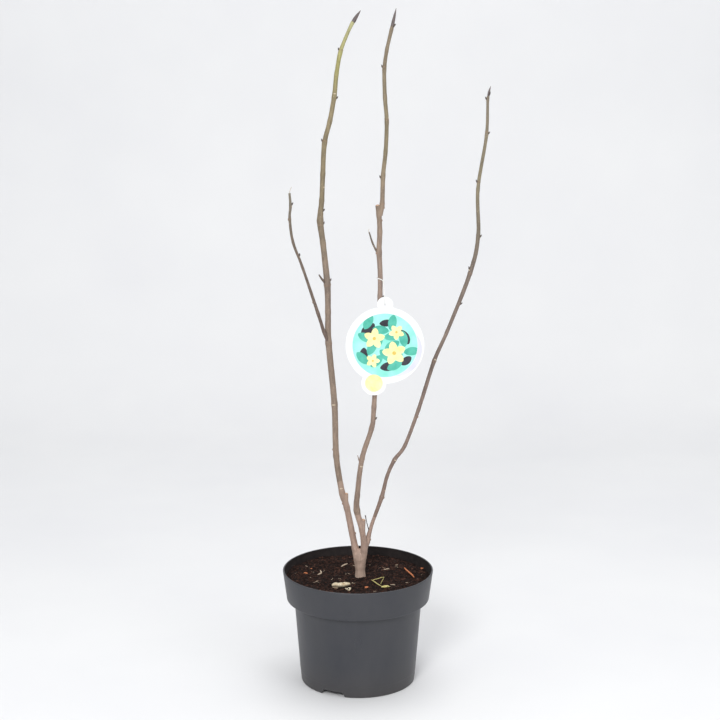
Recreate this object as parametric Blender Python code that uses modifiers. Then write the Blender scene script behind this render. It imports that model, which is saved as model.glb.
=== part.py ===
# Potted magnolia shrub in its winter rest: bare stems from one short trunk, in a round nursery pot.
# Metres, +Z up. The origin is on the pot's axis, on the surface that the pot stands on.
# The front of the plant faces -Y, so a bearing of 0 degrees points to -Y and 90 degrees to +X.
# The limb tables are in millimetres.
import math

import bmesh
import bpy
from mathutils import Vector

MM = 0.001
GAP = 0.0003                    # clearance between pieces that touch

# Pot
POT_HEIGHT = 0.168
RIM_RADIUS = 0.110
COLLAR_HEIGHT = 0.0435
COLLAR_FOOT_RADIUS = 0.1042
BODY_TOP_RADIUS = 0.0934
BASE_RADIUS = 0.0834
WALL = 0.002
SKIRT_HEIGHT = 0.008            # the floor is raised by this inside its foot ring
FOOT_RING = 0.0032              # width of the foot ring
EDGE = 0.0012                   # chamfer of the foot and of the collar's lower edge
HUB_RADIUS = 0.022              # the middle of the floor dips down to the ground
HUB_SLOPE = 0.005
POT_SIDES = 64

# Drainage: three notches in the foot ring, and holes in the raised floor
NOTCH_BEARINGS = (-26, 94, 214)
NOTCH_WIDTH = 0.030             # at its top; its ends slant outwards below
NOTCH_SLANT = 0.0045
NOTCH_DEPTH = 0.012             # the cutter's reach across the ring
NOTCH_BELOW = 0.004             # and below it
DRAIN_HOLE_RADIUS = 0.005
DRAIN_CIRCLE = 0.066
DRAIN_HOLES = 6
DRAIN_SIDES = 12

SOIL_TOP = 0.155

# Limbs: rows of sideways, depth, height and diameter, in millimetres.
# Each row is a bud, a scar or a bend. A limb's first rows lie inside its parent.
TRUNK = (
    (3.4, 0, 155.3, 16.4), (3.4, 0, 161, 14.6), (3.2, 0, 172, 15.2), (2.8, 0, 184, 16.8), (2.6, 0, 191, 15.0),
)
LEFT_STEM = (
    (0.5, 1, 176, 11.5), (-4.2, 3, 199, 9.8), (-16.4, 10, 259, 8.8), (-23, 12, 280, 8.8), (-31.5, 17, 335, 8.6),
    (-34, 23, 411, 8.8), (-42.3, 31, 500, 9.0), (-43, 34, 545, 8.0), (-44, 36, 585, 9.4), (-50, 40, 644, 8.0),
    (-54, 42, 676, 9.0), (-51.6, 44, 705, 7.0), (-50, 47, 742, 6.9), (-47.4, 51, 786, 7.0), (-40, 53, 816, 6.6),
    (-33.6, 56, 851, 6.6), (-30.2, 59, 883, 6.0), (-25, 61.5, 912, 6.0), (-17.3, 64, 933, 4.6),
    (-7.4, 66, 954, 6.0), (3.8, 68, 971, 1.4),
)
MIDDLE_STEM = (
    (5, -1, 176, 12.5), (9, -4, 200, 9.8), (6, -8, 230, 8.2), (-1.5, -12, 261, 9.2), (-1, -15, 284, 7.6),
    (6, -23, 342, 7.2), (19.5, -28, 388, 7.0), (22.8, -31, 420, 6.8), (31, -44, 583, 6.8), (29.6, -46, 645, 7.4),
    (30.5, -46.5, 674, 6.8), (29.2, -47, 698, 7.2), (28, -47, 710.5, 7.6),
)
MIDDLE_SHOOT = (
    (31, -47, 697, 6.5), (33.6, -48, 713, 6.4), (34.8, -49, 752, 6.0), (38, -50, 785, 5.6), (39.5, -52, 826, 5.7),
    (37, -54, 859, 5.3), (36, -56, 897, 5.4), (39.3, -58, 924, 4.8), (45.4, -59.5, 951, 5.2), (51.6, -61, 979.5, 1.4),
)
RIGHT_STEM = (
    (7, -1.5, 192, 9.0), (13.2, 2.5, 209, 8.4), (20.6, 6, 235, 4.9), (34.6, 8, 275, 6.2), (42.4, 10, 306, 5.0),
    (53, 12, 330, 5.8), (68, 14, 351, 5.2), (87.3, 18, 403, 5.4), (110, 23.5, 475, 5.8), (128, 26, 517, 5.1),
    (160.6, 31, 602, 6.2), (171.6, 34, 655, 5.6), (170.6, 36.5, 722, 5.0), (182, 42, 798, 4.6),
    (183.5, 45.5, 849, 3.7), (187.3, 47, 867, 1.2),
)
LEFT_BRANCH = (
    (-42, 31, 499, 5.0), (-48.7, 25, 517, 5.0), (-57, 20, 545, 4.7), (-78.4, 11, 613, 3.7), (-91.8, 7, 651, 3.8),
    (-96, 4, 684, 3.7), (-94.8, 2, 703, 3.8), (-96, 2, 721, 3.2),
)
MIDDLE_TWIG = ((29, -46, 643, 3.0), (25.3, -46.5, 648, 2.6), (20.2, -48, 659, 2.4), (15.6, -50, 674, 1.8))
LEFT_SPUR = ((-45, 35, 584, 3.4), (-50.4, 32, 591.6, 2.8), (-52.8, 31, 595, 2.4), (-55.8, 30, 600, 1.8))

# Old pruning cuts, where a leader was taken off above a side shoot
LEFT_CUT = ((-16.8, 9.5, 261, 5.8), (-16.6, 10, 280, 5.4))
MIDDLE_CUT = ((7, -9, 229, 7.2), (8.4, -9, 246, 6.0))

# How much of each limb is grown together with its parent, in millimetres along the limb
LEFT_ARM = 40
MIDDLE_ARM = 45
RIGHT_ARM = 34
BRANCH_ARM = 17
SHOOT_ARM = 21
TWIG_ARM = 9
SPUR_ARM = 8.5

NODE_SWELL = 0.07               # how much thicker a limb is at each row of its table
NODE_SPAN = 4.0                 # and over what length, in millimetres
LIMB_STEP = 11.0                # spacing of the rings along a limb, in millimetres
LIMB_RESOLUTION = 2             # eight sides

# Plant label: a round card that hangs from a loop round the middle stem
TAG_CENTRE = (0.038, 0.5135)
TAG_RADIUS = 0.055
TAG_BACK = -0.0486
TAG_THICKNESS = 0.0008
TAG_SIDES = 72
NECK_RADIUS = 0.0112
HOLE_HEIGHT = 0.5716
HOLE_RADIUS = 0.0022
FOOT_TAB_CENTRE = (0.0225, 0.4592)
FOOT_TAB_RADIUS = 0.0175
LOOP_RADIUS = 0.0006
# The loop's route: up through the hole, over the neck, round the stem and back down behind the card
LOOP_ROUTE = (
    (37.8, -47.6, 572.6), (37.8, -49.0, 572.8), (37.7, -50.3, 573.8), (37.6, -50.5, 578), (37.4, -50.3, 583.6),
    (36.6, -49.2, 590), (36.2, -48.9, 599), (34.6, -49.0, 605.5), (31, -49.9, 608), (27.6, -48.3, 608.6),
    (26.2, -45.3, 608.8), (27.6, -42, 608.6), (31, -40.6, 608), (34.4, -42.2, 606.4), (36.2, -45, 602),
    (36.4, -46.4, 594), (37.2, -47.3, 584), (37.7, -47.4, 577),
)
LOOP_STEPS = 2
LOOP_RESOLUTION = 1

CREASE = 35                     # faces that meet at more degrees than this keep a sharp edge
TURNED_MERGE = 0.00005
CAP_MERGE = 0.00002


# Tools

def clear_scene():
    for item in list(bpy.data.objects):
        bpy.data.objects.remove(item, do_unlink=True)


def collection(name):
    group = bpy.data.collections.new(name)
    bpy.context.scene.collection.children.link(group)
    return group


def material(name, color, roughness):
    made = bpy.data.materials.new(name)
    made.use_nodes = True
    shader = made.node_tree.nodes["Principled BSDF"]
    shader.inputs["Base Color"].default_value = (*color, 1)
    shader.inputs["Roughness"].default_value = roughness
    shader.inputs["Metallic"].default_value = 0
    return made


def add_object(name, mesh, group, finish=None):
    made = bpy.data.objects.new(name, mesh)
    group.objects.link(made)
    if finish:
        mesh.materials.append(finish)
    return made


def as_cutter(tool):
    tool.hide_render = True
    tool.display_type = "WIRE"
    return tool


def boolean(target, operation, tools):
    for tool in tools:
        step = target.modifiers.new(f"{operation.lower()} {tool.name}", "BOOLEAN")
        step.operation = operation
        step.solver = "EXACT"
        step.object = tool


def smooth(mesh):
    mesh.shade_smooth()
    mesh.set_sharp_from_angle(angle=math.radians(CREASE))


def turned(name, profile, sides, group, finish):
    """A solid of revolution about Z, from (radius, height) points that run down its outer side."""
    mesh = bpy.data.meshes.new(name)
    mesh.from_pydata([(r, 0, z) for r, z in profile], [(i, i + 1) for i in range(len(profile) - 1)], [])
    made = add_object(name, mesh, group, finish)
    screw = made.modifiers.new("turn", "SCREW")
    screw.steps = sides
    screw.render_steps = sides
    screw.use_merge_vertices = True
    screw.merge_threshold = TURNED_MERGE
    screw.use_smooth_shade = False
    return made


def drum(name, radius, depth, sides, centre, group, axis="Z", finish=None):
    """A closed cylinder."""
    shape = bmesh.new()
    bmesh.ops.create_cone(shape, cap_ends=True, segments=sides, radius1=radius, radius2=radius, depth=depth)
    mesh = bpy.data.meshes.new(name)
    shape.to_mesh(mesh)
    shape.free()
    made = add_object(name, mesh, group, finish)
    made.location = centre
    if axis == "Y":
        made.rotation_euler.x = math.radians(90)
    return made


# Limbs

def spline_point(a, b, c, d, t):
    """A point between b and c on the smooth curve through a, b, c and d."""
    return 0.5 * ((2 * b) + (c - a) * t + (2 * a - 5 * b + 4 * c - d) * t ** 2 + (3 * b - a - 3 * c + d) * t ** 3)


def grow(rows, step=LIMB_STEP):
    """Rings along a limb: distance along it, centre and radius, all in millimetres."""
    points = [Vector(row[:3]) for row in rows]
    ends = [2 * points[0] - points[1]] + points + [2 * points[-1] - points[-2]]
    rings = []
    walked = 0.0
    before = points[0]
    for index in range(len(points) - 1):
        pieces = max(1, round((points[index + 1] - points[index]).length / step))
        last = index == len(points) - 2
        for piece in range(pieces + (1 if last else 0)):
            t = piece / pieces
            centre = spline_point(*ends[index:index + 4], t)
            walked += (centre - before).length
            before = centre
            diameter = rows[index][3] * (1 - t) + rows[index + 1][3] * t
            rings.append([walked, centre, diameter / 2])
    return rings


def swell(rings, rows):
    """Thicken a limb a little at the buds and scars, but not at its two ends."""
    for ring in rings:
        for row in rows[1:-1]:
            away = (ring[1] - Vector(row[:3])).length / NODE_SPAN
            ring[2] *= 1 + NODE_SWELL * math.exp(-away ** 2)
    return rings


def stretch(rings, start, end):
    """The part of a limb between two distances along it, with a ring at each cut."""
    def cut(at):
        for low, high in zip(rings, rings[1:]):
            if low[0] <= at <= high[0]:
                t = (at - low[0]) / (high[0] - low[0])
                return [at, low[1].lerp(high[1], t), low[2] * (1 - t) + high[2] * t]
        return rings[-1]
    shortest = LIMB_STEP / 4
    inner = [ring for ring in rings if start + shortest < ring[0] < end - shortest]
    return [cut(start)] + inner + [cut(end)]


def limb(name, rings, group, finish):
    """A round limb through the rings, as a closed mesh."""
    curve = bpy.data.curves.new(name, "CURVE")
    curve.dimensions = "3D"
    curve.bevel_depth = MM
    curve.bevel_resolution = LIMB_RESOLUTION
    curve.use_fill_caps = True
    line = curve.splines.new("POLY")
    line.points.add(len(rings) - 1)
    for point, (_, centre, radius) in zip(line.points, rings):
        point.co = (*(centre * MM), 1)
        point.radius = radius
    return curve_to_mesh(name, curve, group, finish)


def curve_to_mesh(name, curve, group, finish):
    drawn = bpy.data.objects.new(name, curve)
    group.objects.link(drawn)
    bpy.context.view_layer.update()
    evaluated = drawn.evaluated_get(bpy.context.evaluated_depsgraph_get())
    mesh = bpy.data.meshes.new_from_object(evaluated)
    place = drawn.matrix_world.copy()
    bpy.data.objects.remove(drawn, do_unlink=True)
    shape = bmesh.new()
    shape.from_mesh(mesh)
    bmesh.ops.remove_doubles(shape, verts=shape.verts, dist=CAP_MERGE)
    bmesh.ops.recalc_face_normals(shape, faces=shape.faces)
    shape.to_mesh(mesh)
    shape.free()
    mesh.materials.clear()
    made = add_object(name, mesh, group, finish)
    made.matrix_world = place
    smooth(mesh)
    return made


def length(rings):
    return rings[-1][0]


def inner_foot(floor):
    """The body's inner radius at the height of the floor."""
    up = floor / (POT_HEIGHT - COLLAR_HEIGHT)
    return BASE_RADIUS - WALL + (BODY_TOP_RADIUS - BASE_RADIUS) * up


# Sub-parts

def make_pot(parts, cutters, finish):
    step_height = POT_HEIGHT - COLLAR_HEIGHT
    floor = SKIRT_HEIGHT + WALL
    profile = [
        (0, WALL), (HUB_RADIUS, WALL), (HUB_RADIUS + HUB_SLOPE, floor), (inner_foot(floor), floor),
        (BODY_TOP_RADIUS - WALL, step_height + WALL), (COLLAR_FOOT_RADIUS - WALL, step_height + WALL),
        (RIM_RADIUS - WALL, POT_HEIGHT), (RIM_RADIUS, POT_HEIGHT),
        (COLLAR_FOOT_RADIUS, step_height + EDGE), (COLLAR_FOOT_RADIUS - EDGE, step_height),
        (BODY_TOP_RADIUS, step_height), (BASE_RADIUS, EDGE), (BASE_RADIUS - EDGE, 0),
        (BASE_RADIUS - FOOT_RING, 0), (BASE_RADIUS - FOOT_RING, SKIRT_HEIGHT),
        (HUB_RADIUS + HUB_SLOPE, SKIRT_HEIGHT), (HUB_RADIUS, 0), (0, 0),
    ]
    pot = turned("pot", profile, POT_SIDES, parts, finish)
    tools = [notch(index, bearing, cutters) for index, bearing in enumerate(NOTCH_BEARINGS)]
    for index in range(DRAIN_HOLES):
        bearing = math.radians(NOTCH_BEARINGS[0] + 360 * index / DRAIN_HOLES)
        centre = (DRAIN_CIRCLE * math.sin(bearing), -DRAIN_CIRCLE * math.cos(bearing), floor - WALL / 2)
        hole = drum(f"drain_{index}", DRAIN_HOLE_RADIUS, 4 * WALL, DRAIN_SIDES, centre, cutters)
        tools.append(as_cutter(hole))
    boolean(pot, "DIFFERENCE", tools)
    return pot


def notch(index, bearing, cutters):
    """A gap in the foot ring whose ends slant apart towards the ground."""
    shape = bmesh.new()
    bmesh.ops.create_cube(shape, size=1)
    for vert in shape.verts:
        low = vert.co.z < 0
        half = NOTCH_WIDTH / 2 + (NOTCH_SLANT * (1 + NOTCH_BELOW / SKIRT_HEIGHT) if low else 0)
        vert.co.x *= 2 * half
        vert.co.y *= NOTCH_DEPTH
        vert.co.z = -NOTCH_BELOW if low else SKIRT_HEIGHT - GAP
    mesh = bpy.data.meshes.new(f"notch_{index}")
    shape.to_mesh(mesh)
    shape.free()
    tool = add_object(f"notch_{index}", mesh, cutters)
    turn = math.radians(bearing)
    tool.location = (BASE_RADIUS * math.sin(turn), -BASE_RADIUS * math.cos(turn), 0)
    tool.rotation_euler.z = turn
    return as_cutter(tool)


def make_soil(parts, finish):
    """The root ball's compost, which fills the pot to a little below its rim."""
    step_height = POT_HEIGHT - COLLAR_HEIGHT + WALL
    floor = SKIRT_HEIGHT + WALL
    up_collar = (SOIL_TOP - step_height) / (POT_HEIGHT - step_height)
    top_radius = COLLAR_FOOT_RADIUS - WALL + (RIM_RADIUS - COLLAR_FOOT_RADIUS) * up_collar
    profile = [
        (0, SOIL_TOP), (top_radius - GAP, SOIL_TOP), (COLLAR_FOOT_RADIUS - WALL - GAP, step_height + GAP),
        (BODY_TOP_RADIUS - WALL - GAP, step_height + GAP), (inner_foot(floor) - GAP, floor + GAP),
        (HUB_RADIUS + HUB_SLOPE - GAP, floor + GAP), (HUB_RADIUS - GAP, WALL + GAP), (0, WALL + GAP),
    ]
    return turned("soil", profile, POT_SIDES, parts, finish)


def make_wood(parts, cutters, finish):
    """The trunk with the first stretch of each stem, then the stems, the side branch and the twigs."""
    def rings(rows):
        return swell(grow(rows), rows)

    def joined(name, main, additions):
        body = limb(name, main, parts, finish)
        tools = []
        for number, extra in enumerate(additions):
            tools.append(as_cutter(limb(f"{name}_joint_{number}", extra, cutters, finish)))
        boolean(body, "UNION", tools)

    left, middle, right = rings(LEFT_STEM), rings(MIDDLE_STEM), rings(RIGHT_STEM)
    branch, shoot = rings(LEFT_BRANCH), rings(MIDDLE_SHOOT)
    twig, spur = rings(MIDDLE_TWIG), rings(LEFT_SPUR)
    gap = GAP / MM
    joined("trunk", grow(TRUNK),
           [stretch(left, 0, LEFT_ARM), stretch(middle, 0, MIDDLE_ARM), stretch(right, 0, RIGHT_ARM)])
    joined("left_stem", stretch(left, LEFT_ARM + gap, length(left)),
           [stretch(branch, 0, BRANCH_ARM), stretch(spur, 0, SPUR_ARM), grow(LEFT_CUT)])
    joined("middle_stem", stretch(middle, MIDDLE_ARM + gap, length(middle)),
           [stretch(shoot, 0, SHOOT_ARM), stretch(twig, 0, TWIG_ARM), grow(MIDDLE_CUT)])
    joined("middle_shoot", stretch(shoot, SHOOT_ARM + gap, length(shoot)), [])
    joined("right_stem", stretch(right, RIGHT_ARM + gap, length(right)), [])
    joined("left_branch", stretch(branch, BRANCH_ARM + gap, length(branch)), [])
    joined("middle_twig", stretch(twig, TWIG_ARM + gap, length(twig)), [])
    joined("left_spur", stretch(spur, SPUR_ARM + gap, length(spur)), [])


def make_tag(parts, cutters, finish):
    """The label: a disc with a neck for its hole at the top and a small round tab at its foot."""
    middle = TAG_BACK - TAG_THICKNESS / 2

    def plate(name, radius, x, z, group, look=None):
        return drum(name, radius, TAG_THICKNESS, TAG_SIDES, (x, middle, z), group, "Y", look)

    tag = plate("tag", TAG_RADIUS, *TAG_CENTRE, parts, finish)
    neck = plate("neck", NECK_RADIUS, TAG_CENTRE[0], HOLE_HEIGHT, cutters)
    foot = plate("foot", FOOT_TAB_RADIUS, *FOOT_TAB_CENTRE, cutters)
    hole_place = (TAG_CENTRE[0], middle, HOLE_HEIGHT)
    hole = drum("tag_hole", HOLE_RADIUS, 4 * TAG_THICKNESS, DRAIN_SIDES, hole_place, cutters, "Y")
    boolean(tag, "UNION", [as_cutter(neck), as_cutter(foot)])
    boolean(tag, "DIFFERENCE", [as_cutter(hole)])
    return tag


def make_tag_loop(parts, finish):
    """The label's tie, a closed ring of thin round cord."""
    route = [Vector(point) * MM for point in LOOP_ROUTE]
    count = len(route)
    curve = bpy.data.curves.new("tag_loop", "CURVE")
    curve.dimensions = "3D"
    curve.bevel_depth = LOOP_RADIUS
    curve.bevel_resolution = LOOP_RESOLUTION
    line = curve.splines.new("POLY")
    line.points.add(count * LOOP_STEPS - 1)
    line.use_cyclic_u = True
    for index in range(count * LOOP_STEPS):
        first, part = divmod(index, LOOP_STEPS)
        around = [route[(first + offset) % count] for offset in (-1, 0, 1, 2)]
        line.points[index].co = (*spline_point(*around, part / LOOP_STEPS), 1)
    return curve_to_mesh("tag_loop", curve, parts, finish)


def main():
    clear_scene()
    parts = collection("potted_magnolia")
    cutters = collection("cutters")
    plastic = material("pot_plastic", (0.055, 0.058, 0.066), 0.5)
    peat = material("peat", (0.022, 0.012, 0.009), 0.95)
    bark = material("bark", (0.26, 0.19, 0.15), 0.8)
    card = material("label_card", (0.86, 0.88, 0.86), 0.4)
    tie = material("label_tie", (0.85, 0.85, 0.82), 0.5)
    make_pot(parts, cutters, plastic)
    make_soil(parts, peat)
    make_wood(parts, cutters, bark)
    make_tag(parts, cutters, card)
    make_tag_loop(parts, tie)


main()
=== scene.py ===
"""Looks of a potted magnolia shrub in its winter rest: bark, buds, scars, compost, pot and label.

Metres, +Z up, and the front faces -Y. The limb tables are in millimetres.
"""
import math
import random

import bmesh
import bpy
import numpy as np
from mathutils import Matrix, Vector, noise


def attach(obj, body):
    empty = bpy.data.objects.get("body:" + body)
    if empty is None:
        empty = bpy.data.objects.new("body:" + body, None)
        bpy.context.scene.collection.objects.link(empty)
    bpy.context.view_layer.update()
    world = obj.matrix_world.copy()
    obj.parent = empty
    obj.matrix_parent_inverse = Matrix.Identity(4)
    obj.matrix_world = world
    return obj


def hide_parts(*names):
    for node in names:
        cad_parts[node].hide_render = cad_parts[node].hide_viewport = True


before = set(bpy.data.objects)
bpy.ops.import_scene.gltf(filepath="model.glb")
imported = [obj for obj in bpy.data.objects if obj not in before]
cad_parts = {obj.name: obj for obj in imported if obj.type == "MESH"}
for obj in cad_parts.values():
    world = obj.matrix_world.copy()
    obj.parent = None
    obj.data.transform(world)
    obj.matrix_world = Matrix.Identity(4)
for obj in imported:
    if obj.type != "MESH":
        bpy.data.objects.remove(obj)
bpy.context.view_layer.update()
MM = 0.001
dice = random.Random(7)

# Camera, as the photograph was taken
CAMERA_PLACE = (0.003, -2.72, 1.092)
CAMERA_PITCH = 77.35
CAMERA_LENS = 97.5
CAMERA_SENSOR = 36

# Limbs: rows of sideways, depth, height and diameter
TRUNK = (
    (3.4, 0, 151.0, 16.5), (3.4, 0, 156, 14.2), (3.4, 0, 161, 13.2), (3.2, 0, 172, 14.2),
    (2.8, 0, 184, 15.6), (3.0, 0, 191, 14.0), (3.6, 0, 198, 9.0),
)
LEFT_STEM = (
    (0.5, 1, 176, 11.5), (-4.2, 3, 199, 9.8), (-16.4, 10, 259, 8.8), (-23, 12, 280, 8.8),
    (-31.5, 17, 335, 8.6), (-34, 23, 411, 8.8), (-42.3, 31, 500, 9.0), (-43, 34, 545, 8.0),
    (-44, 36, 585, 9.4), (-50, 40, 644, 8.0), (-54, 42, 676, 9.0), (-51.6, 44, 705, 7.0),
    (-50, 47, 742, 6.9), (-47.4, 51, 786, 7.0), (-40, 53, 816, 6.6), (-33.6, 56, 851, 6.6),
    (-30.2, 59, 883, 6.0), (-25, 61.5, 912, 6.0), (-17.3, 64, 933, 4.6), (-7.4, 66, 954, 5.2),
    (3.8, 68, 971, 1.4),
)
MIDDLE_STEM = (
    (5, -1, 176, 12.5), (9, -4, 200, 9.8), (6, -8, 230, 8.2), (-1.5, -12, 261, 9.2),
    (-1, -15, 284, 7.6), (6, -23, 342, 7.2), (19.5, -28, 388, 7.0), (22.8, -31, 420, 6.8),
    (31, -44, 583, 6.8), (29.6, -46, 645, 7.4), (30.5, -46.5, 674, 6.8), (29.2, -47, 698, 7.2),
    (28, -47, 710.5, 7.6),
)
MIDDLE_SHOOT = (
    (31, -47, 697, 6.5), (33.6, -48, 713, 6.4), (34.8, -49, 752, 6.0), (38, -50, 785, 5.6),
    (39.5, -52, 826, 5.7), (37, -54, 859, 5.3), (36, -56, 897, 5.4), (39.3, -58, 924, 4.8),
    (45.4, -59.5, 951, 5.0), (51.6, -61, 979.5, 1.4),
)
RIGHT_STEM = (
    (7, -1.5, 192, 9.0), (13.2, 2.5, 209, 8.4), (20.6, 6, 235, 4.9), (34.6, 8, 275, 6.2),
    (42.4, 10, 306, 5.0), (53, 12, 330, 5.8), (68, 14, 351, 5.2), (87.3, 18, 403, 5.4),
    (110, 23.5, 475, 5.8), (128, 26, 517, 5.1), (160.6, 31, 602, 6.2), (171.6, 34, 655, 5.6),
    (170.6, 36.5, 722, 5.0), (182, 42, 798, 4.6), (183.5, 45.5, 849, 3.7), (187.3, 47, 867, 1.2),
)
LEFT_BRANCH = (
    (-42, 31, 499, 5.0), (-48.7, 25, 517, 5.0), (-57, 20, 545, 4.7), (-78.4, 11, 613, 3.7),
    (-91.8, 7, 651, 3.8), (-96, 4, 684, 3.7), (-94.8, 2, 703, 3.8), (-96, 2, 721, 3.2),
)
MIDDLE_TWIG = ((29, -46, 643, 3.0), (25.3, -46.5, 648, 2.6), (20.2, -48, 659, 2.4), (15.6, -50, 674, 1.8))
LEFT_SPUR = ((-45, 35, 584, 3.4), (-50.4, 32, 591.6, 2.8), (-52.8, 31, 595, 2.4), (-55.8, 30, 600, 1.8))
LEFT_CUT = ((-14.5, 8.8, 252, 5.0), (-16.8, 9.5, 263, 5.8), (-16.6, 10, 280, 5.4))
MIDDLE_CUT = ((6.4, -8, 224, 6.6), (7, -9, 231, 7.0), (8.4, -9, 246, 6.0))

RING_STEP = 1.2                 # spacing of the rings along a limb
LIMB_SIDES = 22
NODE_SWELL = 0.11               # a limb is this share thicker at each of its rows
NODE_SPAN = 4.0
RELIEF_FULL = 3                 # radius from which the bark's relief has its full height
FORK_REACH = {"left": 128, "middle": 84, "right": 60}   # how far the fork's one mesh follows each stem
FORK_OVERLAP = 3                # how far the stems' own bark reaches back into it
FORK_SIDES = 32
FORK_VOXEL = 0.00055
FORK_SOFTENING = 14
FORK_RELIEF = 1.5
FORK_SEED = 3

# Bark relief: height, then the noise's scale across and along the limb, for ridges, swellings and pits
RELIEF = ((0.13, 0.9, 0.09), (0.16, 0.18, 0.05), (0.05, 2.2, 1.1))

# Bark of each limb: its line, look, node and seed
BARK_RUNS = (
    ("left", "left", "left_stem", 11), ("middle", "middle", "middle_stem", 23),
    ("shoot", "middle", "middle_shoot", 31), ("right", "right", "right_stem", 47),
    ("branch", "branch", "left_branch", 53), ("twig", "branch", "middle_twig", 61),
    ("spur", "branch", "left_spur", 67),
)

# Terminal buds: length, width, and how far below the tip the bark ends
TIPS = {"left": (21, 6.4, 18), "shoot": (27, 5.4, 24), "right": (16, 3.6, 14)}
TIP_SIDES = 16
TIP_SEED = 9
SIDE_BUD = (7.0, 3.4, 2.4)      # the smaller bud at the foot of each
SIDE_BUD_BEARING = 70

# Growths: length, width and thickness
BUD = (5.4, 2.9, 2.6)
BUD_LEAN = 0.62
BUD_SCAR = (3.0, 1.5, 1.3)
FLECK = (2.2, 1.3, 0.6)
CRESCENT = (1.24, 2.0, 1.2)     # its length is in radii of the limb
KNOB = (4.6, 1.25, 1.15)        # its width and thickness are in radii of the limb
SKIN = 0.93                     # growths start this far out, in radii
RING_SIDES = 28
RING_GAP = 1.1                  # between the two ridges of a ring scar
RING_BEAD = 0.22                # radius of each ridge
PORES_PER_MM = 0.75
PORE_SIZES = (0.35, 0.9)

# Cut faces: the limb's rows and the way the cut faces
CUT_FACES = (
    (LEFT_CUT, (0.25, -0.1, 1.0)), (MIDDLE_CUT, (0.3, -0.2, 1.0)), (MIDDLE_STEM, (0.0, -0.35, 1.0)),
)
CUT_THICKNESS = 1.5

# Dry remains: sides, look, and rows as for the limbs
DRY_BITS = (
    (8, "bud", ((17.5, 4, 221, 1.6), (14.4, 3, 232, 1.2), (12.2, 2.5, 241, 1.1), (10.8, 2, 249, 1.8))),
    (8, "ring", ((5.2, -16.8, 329, 1.9), (1.6, -19.4, 338, 1.5), (-0.4, -21, 346, 0.9))),
    (6, "straw", ((-96, 2, 720, 0.8), (-95.2, 1, 725, 0.6), (-93, 0, 730, 0.4))),
    (6, "straw", ((15.6, -50, 673, 0.8), (15.0, -50.5, 676, 0.6), (15.6, -51, 679, 0.4))),
)

# Buds and scars: height, bearing from the front (0) to the right (90), and what is there
LEFT_NODES = (
    (220, 90, "knob"), (265, -90, "knob"), (288, 10, "crescent"), (345, -85, "knob"),
    (411, -10, "crescent"), (498, 0, "ring"), (492, -70, "fleck"), (584, 0, "ring"), (590, 95, "bud"),
    (670, 0, "ring"), (672, 95, "bud"), (691, 80, "bud"), (724, 60, "crescent"), (789, -90, "bud"),
    (789, 0, "ring"), (850, 90, "bud"), (856, 10, "crescent"), (916, -90, "bud"), (916, 0, "ring"),
)
MIDDLE_NODES = (
    (331, 20, "crescent"), (403, 90, "bud"), (500, -90, "bud"), (581, 90, "bud"), (644, -70, "knob"),
    (690, 90, "knob"),
)
SHOOT_NODES = (
    (708, 90, "knob"), (713, 0, "ring"), (750, -90, "bud"), (832, 70, "crescent"), (830, 0, "ring"),
    (901, -90, "bud"), (901, 0, "ring"), (957, 90, "bud"),
)
RIGHT_NODES = (
    (213, 90, "knob"), (275, 80, "knob"), (286, 60, "crescent"), (331, 30, "crescent"),
    (394, 90, "knob"), (474, 0, "ring"), (478, 20, "crescent"), (559, 90, "bud"), (601, 0, "ring"),
    (606, -60, "crescent"), (608, -90, "bud"), (655, 90, "bud"), (732, -90, "bud"), (732, 0, "ring"),
    (801, 90, "bud"), (803, 0, "ring"), (850, -90, "bud"),
)
BRANCH_NODES = (
    (562, -90, "knob"), (565, -60, "fleck"), (631, 90, "bud"), (683, -90, "knob"), (684, 0, "ring"),
    (705, 90, "bud"),
)

# Pot
POT_HEIGHT = 0.168
RIM_RADIUS = 0.110
COLLAR_HEIGHT = 0.0435
COLLAR_FOOT_RADIUS = 0.1042
BODY_TOP_RADIUS = 0.0934
BASE_RADIUS = 0.0834
WALL = 0.002
RIM_THICKENING = 0.0006
SKIRT_HEIGHT = 0.008
FOOT_RING = 0.0032
HUB_RADIUS = 0.022
HUB_SLOPE = 0.005
RIDGE_HEIGHT = 0.017            # a faint moulded line round the body
RIDGE_DEPTH = 0.0003
POT_SIDES = 180
NOTCH_BEARINGS = (-26, 94, 214)
NOTCH_WIDTH = 0.030
NOTCH_SLANT = 0.0045
NOTCH_BELOW = 0.0003            # the notches end this far below the floor's underside
NOTCH_REACH = 0.006
CUTTER_SPARE = 0.004            # how far a cutter stands out of what it cuts
DRAIN_HOLE_RADIUS = 0.005
DRAIN_CIRCLE = 0.066
DRAIN_HOLES = 6
DRAIN_SIDES = 32

# Faint moulded oval on the body's front, made of two ridges: scale and radius of each
OVAL_HEIGHT = 0.082
OVAL_HALF_HEIGHT = 0.013
OVAL_HALF_TURN = 0.0055 / 0.09
OVAL_RIDGES = ((1.0, 0.00022), (0.62, 0.00016))
OVAL_STEPS = 48

# Specks of compost stuck to the collar: bearing, height and size in millimetres
SPECKS = (
    (-7, 0.139, 1.1), (-9, 0.127, 1.3), (-45, 0.155, 1.0), (30, 0.134, 0.8), (-76, 0.133, 1.5),
    (120, 0.14, 1.2), (200, 0.13, 1.0), (255, 0.15, 1.2),
)

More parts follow.
